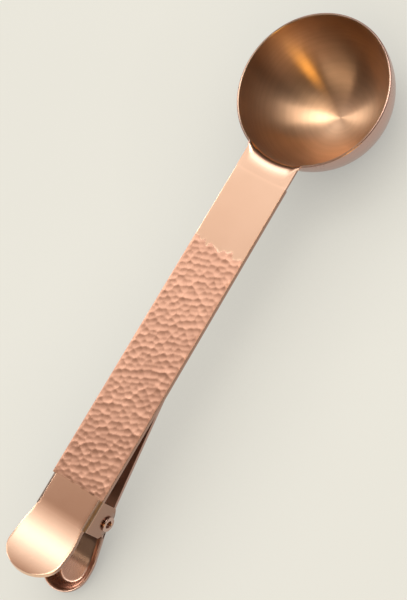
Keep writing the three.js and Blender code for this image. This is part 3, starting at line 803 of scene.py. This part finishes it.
# Copper: scales of its noises per metre, and where its tones start and end
BRUSH_SCALE = 2600.0
RING_SCALE = 750.0
DRIFT_SCALE = 90.0
DRIFT_STOPS = (0.3, 0.7)
WORN_STOPS = [(0.53, BLACK), (0.62, WHITE)]  # of pointiness
WORN_GAIN, WORN_LIFT = 1.05, 0.02  # what worn edges make of the colour
RING_STOPS = [(0.35, (0.93, 0.93, 0.93)), (0.65, WHITE)]
SIDE_STOPS = [(0.8, BLACK), (0.98, WHITE)]  # of how much a face looks sideways
STEEP_STOPS = [(0.5, WHITE), (0.88, BLACK)]  # of how much a face looks up or down
RIM_STOPS = [(4 * MM, BLACK), (15 * MM, WHITE)]  # of height in the bowl
ROUGHNESS_SPREAD = 0.04
RING_ROTATION = 0.25  # turns the anisotropy across the rings
BUMP_DISTANCE = 0.1 * MM
EVEN = (1, 1, 1)
ALONG_HANDLE = (0.08, 1, 1)  # draws the brushing out along X


def ring_coordinates(tree, where):
    """Distance from the bowl's axis and height, for rings of brushing, and the direction along a ring."""
    links = tree.links
    place = split(tree, where)
    flat = node(tree, "ShaderNodeCombineXYZ")
    links.new(place["X"], flat.inputs["X"])
    links.new(place["Y"], flat.inputs["Y"])
    away = node(tree, "ShaderNodeVectorMath", operation="LENGTH")
    links.new(flat.outputs[0], away.inputs[0])
    ring = node(tree, "ShaderNodeCombineXYZ")
    links.new(away.outputs["Value"], ring.inputs["X"])
    links.new(place["Z"], ring.inputs["Z"])
    along = node(tree, "ShaderNodeVectorMath", operation="CROSS_PRODUCT")
    along.inputs[0].default_value = (0, 0, 1)
    links.new(flat.outputs[0], along.inputs[1])
    return ring.outputs[0], along.outputs[0]


def brush_along(tree, where, stretch):
    """Coordinates for brushing that is drawn out along the piece."""
    made = node(tree, "ShaderNodeMapping")
    made.inputs["Scale"].default_value = stretch
    tree.links.new(where, made.inputs["Vector"])
    return made.outputs[0]


def brush_rings(tree, shader, where, anisotropy):
    """Coordinates for brushing in rings about the bowl's axis, with anisotropy to match."""
    coordinates, along = ring_coordinates(tree, where)
    tree.links.new(along, shader.inputs["Tangent"])
    shader.inputs["Anisotropic"].default_value = anisotropy
    shader.inputs["Anisotropic Rotation"].default_value = RING_ROTATION
    return coordinates


def vary_roughness(tree, shader, roughness, lines, drift):
    """Roughness that follows the brushing and the drift of colour a little."""
    mixed = node(tree, "ShaderNodeMix", data_type="FLOAT")
    mixed.inputs["Factor"].default_value = 0.5
    tree.links.new(lines, mixed.inputs[FLOAT_A])
    tree.links.new(drift, mixed.inputs[FLOAT_B])
    spread = node(tree, "ShaderNodeMapRange")
    spread.inputs["To Min"].default_value = roughness - ROUGHNESS_SPREAD
    spread.inputs["To Max"].default_value = roughness + ROUGHNESS_SPREAD
    tree.links.new(mixed.outputs[0], spread.inputs["Value"])
    tree.links.new(spread.outputs[0], shader.inputs["Roughness"])


def copper(name, base, dark, roughness, brushing, stretch=EVEN, rings=0.0, side_shade=None, steep=False,
           rim_shade=None):
    """Copper-coloured metal: fine brushing, a slow drift of colour, and worn, lighter edges.

    rings is the anisotropy of brushing in rings about the bowl's axis, or 0 for brushing along the piece.
    The side colour, if given, paints shade on what faces sideways: the sheet's cut edges and the ears.
    With steep it paints that shade on every wall that stands up from the sheet instead.
    rim_shade browns the metal towards the bowl's rim."""
    material, tree, shader = new_material(name)
    texture = node(tree, "ShaderNodeTexCoord")
    where = texture.outputs["Object"]
    if rings:
        coordinates = brush_rings(tree, shader, where, rings)
    else:
        coordinates = brush_along(tree, where, stretch)
    lines = noise(tree, coordinates, Scale=BRUSH_SCALE, Detail=3.0, Roughness=0.6)
    drift = noise(tree, where, Scale=DRIFT_SCALE, Detail=3.0)
    colour = ramp(tree, drift, list(zip(DRIFT_STOPS, (dark, base))))
    worn = ramp(tree, node(tree, "ShaderNodeNewGeometry").outputs["Pointiness"], WORN_STOPS)
    lighter = [min(1, c * WORN_GAIN + WORN_LIFT) for c in base]
    colour = mix_colours(tree, colour, lighter, worn, "MIX")
    # Painted shade: faces that look sideways, or with steep the walls that stand up, get darker.
    if side_shade:
        axis, stops = ("Z", STEEP_STOPS) if steep else ("Y", SIDE_STOPS)
        facing = calculate(tree, "ABSOLUTE", split(tree, texture.outputs["Normal"])[axis])
        colour = mix_colours(tree, colour, side_shade, ramp(tree, facing, stops))
    # Painted shade: the bowl's inside gets browner and darker towards its rim.
    if rim_shade:
        colour = mix_colours(tree, colour, rim_shade, ramp(tree, split(tree, where)["Z"], RIM_STOPS))
    if rings:
        marks = noise(tree, coordinates, Scale=RING_SCALE, Detail=2.0)
        colour = mix_colours(tree, colour, ramp(tree, marks, RING_STOPS))
    tree.links.new(colour, shader.inputs["Base Color"])
    vary_roughness(tree, shader, roughness, lines, drift)
    bump = node(tree, "ShaderNodeBump", Strength=brushing, Distance=BUMP_DISTANCE)
    tree.links.new(lines, bump.inputs["Height"])
    tree.links.new(bump.outputs[0], shader.inputs["Normal"])
    shader.inputs["Metallic"].default_value = 1.0
    return material


# Painted shade for faces that look sideways: the sheet's cut edges and the ears.
SIDE_SHADE_TONE = (0.43, 0.38, 0.4)
# Darker than the handle's copper: painted shade inside the bowl, with more of it towards the rim.
bowl_shaded_copper = copper("bowl_shaded_copper", (0.75, 0.485, 0.312), (0.71, 0.455, 0.288), 0.33, 0.03, rings=0.82,
                     rim_shade=(0.76, 0.86, 1.0))
# A darker, greyer copy of the copper for the bowl's outside: painted shade.
outer_shaded_copper = copper("outer_shaded_copper", (0.57, 0.37, 0.32), (0.53, 0.345, 0.3), 0.28, 0.01)
handle_copper = copper("handle_copper", (0.92, 0.62, 0.45), (0.89, 0.59, 0.42), 0.23, 0.006, ALONG_HANDLE,
                       side_shade=SIDE_SHADE_TONE)
hammered_copper = copper("hammered_copper", (0.78, 0.46, 0.335), (0.7, 0.405, 0.295), 0.38, 0.006,
                         ALONG_HANDLE, side_shade=SIDE_SHADE_TONE)
# The ears' bends get a darker copy of the copper: painted shade.
shaded_bend_copper = copper("shaded_bend_copper", (0.5, 0.37, 0.31), (0.46, 0.34, 0.28), 0.42, 0.006, ALONG_HANDLE)
# The lever's standing walls get painted shade.
clip_copper = copper("clip_copper", (0.88, 0.61, 0.48), (0.83, 0.57, 0.45), 0.28, 0.0008, ALONG_HANDLE,
                     side_shade=(0.56, 0.52, 0.56), steep=True)
# Painted shade: a dark copy of the copper inside the jaw, under the handle.
clip_inside_shade = copper("clip_inside_shade", (0.42, 0.31, 0.29), (0.38, 0.28, 0.26), 0.32, 0.002, ALONG_HANDLE)
rivet_copper = copper("rivet_copper", (0.6, 0.42, 0.36), (0.54, 0.37, 0.32), 0.25, 0.01)
spring_wire = copper("spring_wire", (0.55, 0.53, 0.51), (0.46, 0.45, 0.44), 0.3, 0.01)


# Pieces
HAMMERED_FROM = 0.2  # the share of the dimples' height at which the hammered finish starts
TOP_TOLERANCE = 0.01
BEND_FACING = (0.15, 0.95)  # how far sideways the faces of the ears' bends look
JAW_FACING = 0.5  # how far up the faces inside the jaw look, at least


def add_piece(name, mesh, material, body, slot, *replaced):
    item = make_object(name, *mesh)
    item.data.materials.append(material)
    if body:
        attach(item, body)
    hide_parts(*replaced)
    return item


def add_face_materials(item, materials, choose):
    """More materials for a piece. choose gives a material's number for a face's number and the face."""
    for material in materials:
        item.data.materials.append(material)
    for index, face in enumerate(item.data.polygons):
        face.material_index = choose(index, face)


def bowl_finish_and_shade(index, face):
    """The handle's finish on top of the lip, and a darker copy of the copper on the wall's outside, as
    painted shade.
    """
    from_middle = Vector(face.center) / MM - Vector((0, 0, SPHERE_CENTRE))
    outside = from_middle.length > (INNER_SPHERE + OUTER_SPHERE) / 2
    return 1 if index >= len(bowl.wall_faces) else 2 * int(outside)


def handle_finish_and_shade(_, face):
    """The hammered finish on the panel, and a darker copy of the copper on the ears' bends, as painted
    shade.
    """
    x, y, z = face.center / MM
    in_panel = -x < PANEL_END and z > BOWL_HEIGHT - TOP_TOLERANCE and hammer_started(-x, y) > HAMMERED_FROM
    bent = BEND_FACING[0] < abs(face.normal.y) < BEND_FACING[1] and face.normal.z > 0
    on_bend = EAR_START < -x < EAR_END and bent
    return 1 if in_panel else 2 * int(on_bend)


def jaw_shade_choice(_, face):
    """Painted shade: a darker copy of the copper on the side of the jaw that faces the handle."""
    in_jaw = face.center.x / MM > -PIN_PLACE + ARM_EAR_BASE / 2 and face.normal.z > JAW_FACING
    return int(in_jaw)


bowl = BowlSkin()
bowl_shell = add_piece("bowl_shell", (bowl.points, bowl.wall_faces + bowl.lip_faces), bowl_shaded_copper, "scoop",
                       "brushed_copper", "bowl")
add_face_materials(bowl_shell, [handle_copper, outer_shaded_copper], bowl_finish_and_shade)
handle_strip = add_piece("handle_strip", merge([front_strip(), eared_strip(), tail_strip()]), handle_copper,
                         "scoop", "hammered_copper", "handle")
add_face_materials(handle_strip, [hammered_copper, shaded_bend_copper], handle_finish_and_shade)
clip_lever = add_piece("clip_lever", merge([arm_sheet(), arm_ear(1), arm_ear(-1)]), clip_copper, "clip",
                       "satin_copper", "clip_arm")
add_face_materials(clip_lever, [clip_inside_shade], jaw_shade_choice)
add_piece("hinge_rivet", pin_mesh(), rivet_copper, "scoop", "rivet_copper", "hinge_pin")
spring = add_piece("clip_spring", tube(spring_path(), WIRE_RADIUS, WIRE_SIDES), spring_wire, None,
                   "spring_steel", "torsion_spring")
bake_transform(spring)

# Floor, in metres
FLOOR_REACH = 2
FLOOR_DROP = 0.0002
FLOOR_STOPS = [(0.35, (0.82, 0.8, 0.715)), (0.65, (0.83, 0.81, 0.725))]
FLOOR_LAMP_TONE = (0.185, 0.202, 0.232)  # of the floor's colour, for what the lamps light
FLOOR_GLOW = 0.87
FLOOR_ROUGHNESS = 0.9
FLOOR_DRIFT_SCALE = 9.0
SHADE_REACH = 0.05
SHADE_SAMPLES = 16
SHADE_POWERS = {"Red": 0.52, "Green": 0.5, "Blue": 0.46}  # of the open sky over a place


def seen_rays(tree):
    """1 for what the camera sees, directly or by way of metal or glass, and 0 for other light."""
    path = node(tree, "ShaderNodeLightPath").outputs
    mirrored = calculate(tree, "MAXIMUM", path["Is Camera Ray"], path["Is Glossy Ray"])
    return calculate(tree, "MAXIMUM", mirrored, path["Is Transmission Ray"])


def floor_material():
    """Pale floor with lamplight and its shadow, and a glow for what sees it, dimmed near the object."""
    material, tree, shader = new_material("pale_floor")
    links = tree.links
    where = node(tree, "ShaderNodeTexCoord").outputs["Object"]
    colour = ramp(tree, noise(tree, where, Scale=FLOOR_DRIFT_SCALE, Detail=2.0), FLOOR_STOPS)
    links.new(mix_colours(tree, colour, FLOOR_LAMP_TONE), shader.inputs["Base Color"])
    shader.inputs["Roughness"].default_value = FLOOR_ROUGHNESS
    shader.inputs["Specular IOR Level"].default_value = 0.0
    open_sky = node(tree, "ShaderNodeAmbientOcclusion", Distance=SHADE_REACH)
    open_sky.samples = SHADE_SAMPLES
    shade = node(tree, "ShaderNodeCombineColor")
    for channel, power in SHADE_POWERS.items():
        links.new(calculate(tree, "POWER", open_sky.outputs["AO"], power), shade.inputs[channel])
    links.new(mix_colours(tree, colour, shade.outputs[0]), shader.inputs["Emission Color"])
    links.new(calculate(tree, "MULTIPLY", seen_rays(tree), FLOOR_GLOW), shader.inputs["Emission Strength"])
    return material


floor_corners = [(x * FLOOR_REACH, y * FLOOR_REACH, 0) for x, y in ((-1, -1), (1, -1), (1, 1), (-1, 1))]
floor_mesh = bpy.data.meshes.new("floor")
floor_mesh.from_pydata(floor_corners, [], [(0, 1, 2, 3)])
floor = bpy.data.objects.new("floor", floor_mesh)
bpy.context.scene.collection.objects.link(floor)
floor.data.materials.append(floor_material())
floor.location.z = -FLOOR_DROP

# Camera, as fitted to the photograph
PHOTO_WIDTH, PHOTO_HEIGHT = 407, 600  # pixels
TARGET = Vector((-55 * MM, 0, BOWL_HEIGHT * MM))  # on the handle's top face, in metres
TARGET_PIXEL = (204.6, 271.8)  # where the photograph shows it, from the top left
PIXELS_PER_MM = 3.883  # at the target
DISTANCE = 609  # millimetres
AZIMUTH, ELEVATION, ROLL = math.radians(-7.2), math.radians(59.7), math.radians(-53.1)
SENSOR_HEIGHT = 36
CLIP_START = 0.01  # metres
FOCAL_PIXELS = PIXELS_PER_MM * DISTANCE
OFF_CENTRE = (TARGET_PIXEL[0] - PHOTO_WIDTH / 2, PHOTO_HEIGHT / 2 - TARGET_PIXEL[1])


def axes_matrix(x_axis, y_axis, z_axis):
    """The matrix of an object whose own axes point these ways."""
    return Matrix((x_axis, y_axis, z_axis)).transposed().to_4x4()


def add_camera():
    back = Vector((math.sin(AZIMUTH) * math.cos(ELEVATION), -math.cos(AZIMUTH) * math.cos(ELEVATION),
                   math.sin(ELEVATION)))
    level = Vector((0, 0, 1)).cross(back).normalized()
    upright = back.cross(level)
    right = math.cos(ROLL) * level + math.sin(ROLL) * upright
    top = -math.sin(ROLL) * level + math.cos(ROLL) * upright
    look = back + right * (OFF_CENTRE[0] / FOCAL_PIXELS) + top * (OFF_CENTRE[1] / FOCAL_PIXELS)
    look.normalize()
    right = (right - look * right.dot(look)).normalized()
    data = bpy.data.cameras.new("camera")
    data.sensor_fit = "VERTICAL"
    data.sensor_height = SENSOR_HEIGHT
    data.lens = FOCAL_PIXELS / PHOTO_HEIGHT * SENSOR_HEIGHT
    data.clip_start = CLIP_START
    camera = bpy.data.objects.new("camera", data)
    camera.matrix_world = axes_matrix(right, look.cross(right), look)
    camera.location = TARGET + back * (DISTANCE * MM)
    bpy.context.scene.collection.objects.link(camera)
    bpy.context.scene.camera = camera


add_camera()

# Light, in metres
LAMP_DISTANCE = 1.0
LAMP_AIM = Vector((0, 0, 0.01))
ACROSS_PHOTO = (-0.446, 0.895, 0)  # a level direction, in which the long sides of the lamps above lie


def area_light(name, direction, along, size, power, colour):
    """A rectangular lamp in a direction from the scoop, whose first side lies as near as can be to along."""
    data = bpy.data.lights.new(name, "AREA")
    data.shape = "RECTANGLE"
    data.size, data.size_y = size
    data.energy = power
    data.color = colour
    lamp = bpy.data.objects.new(name, data)
    away = Vector(direction).normalized()
    side = Vector(along)
    side = (side - away * side.dot(away)).normalized()
    lamp.matrix_world = axes_matrix(side, away.cross(side), away)
    lamp.location = LAMP_AIM + away * LAMP_DISTANCE
    bpy.context.scene.collection.objects.link(lamp)


area_light("overhead_softbox", (0.36, 0.05, 0.93), ACROSS_PHOTO, (0.5, 0.3), 2.5, (1.0, 0.95, 0.88))
area_light("softbox_rim", (0.12, -0.08, 0.99), ACROSS_PHOTO, (0.5, 0.38), 0.7, (1.0, 0.84, 0.64))
area_light("side_window", (0.58, -0.42, 0.69), (-0.446, 0.895, -0.9), (0.5, 0.36), 1.0, (1.0, 0.9, 0.8))
area_light("far_window", (0.0, 0.78, 0.62), ACROSS_PHOTO, (0.3, 0.2), 1.08, (1.0, 0.95, 0.88))
area_light("room_light", (-0.67, 0.02, 0.73), (0, 1, 0), (0.85, 0.32), 1.05, (1.0, 0.82, 0.62))
area_light("front_strip", (-0.52, -0.735, 0.42), (0.75, -0.5, 0.05), (0.21, 0.76), 2.0, (1.0, 0.56, 0.11))

# World: colours at angles in degrees from the middle of its glow
GLOW_CENTRE = Vector((0.315, 0.5, 0.807))
GLOW_BRIGHTEST = 2.8
GLOW_STEPS = [(90, (0.02, 0.017, 0.016)), (60, (0.028, 0.022, 0.019)), (40, (0.09, 0.067, 0.054)),
              (30, (0.165, 0.115, 0.088)), (22, (0.305, 0.183, 0.138)), (16.5, (0.68, 0.55, 0.475)),
              (12.8, (1.0, 0.96, 0.92)), (8.5, (1.1, 1.1, 1.08)), (6, (1.9, 1.92, 1.95)),
              (3.5, (2.75, 2.78, 2.8))]


def studio_world():
    """A dim, warm room with one soft glow high beyond the bowl."""
    world = bpy.data.worlds.new("studio")
    world.use_nodes = True
    tree = world.node_tree
    where = node(tree, "ShaderNodeTexCoord")
    aim = node(tree, "ShaderNodeVectorMath", operation="DOT_PRODUCT")
    tree.links.new(where.outputs["Generated"], aim.inputs[0])
    aim.inputs[1].default_value = GLOW_CENTRE.normalized()
    level = node(tree, "ShaderNodeMapRange")
    tree.links.new(aim.outputs["Value"], level.inputs["Value"])
    stops = [(math.cos(math.radians(a)), [c / GLOW_BRIGHTEST for c in rgb]) for a, rgb in GLOW_STEPS]
    background = tree.nodes["Background"]
    tree.links.new(ramp(tree, level.outputs[0], stops), background.inputs["Color"])
    background.inputs["Strength"].default_value = GLOW_BRIGHTEST
    return world


bpy.context.scene.world = studio_world()
bpy.context.scene.view_settings.view_transform = "Standard"
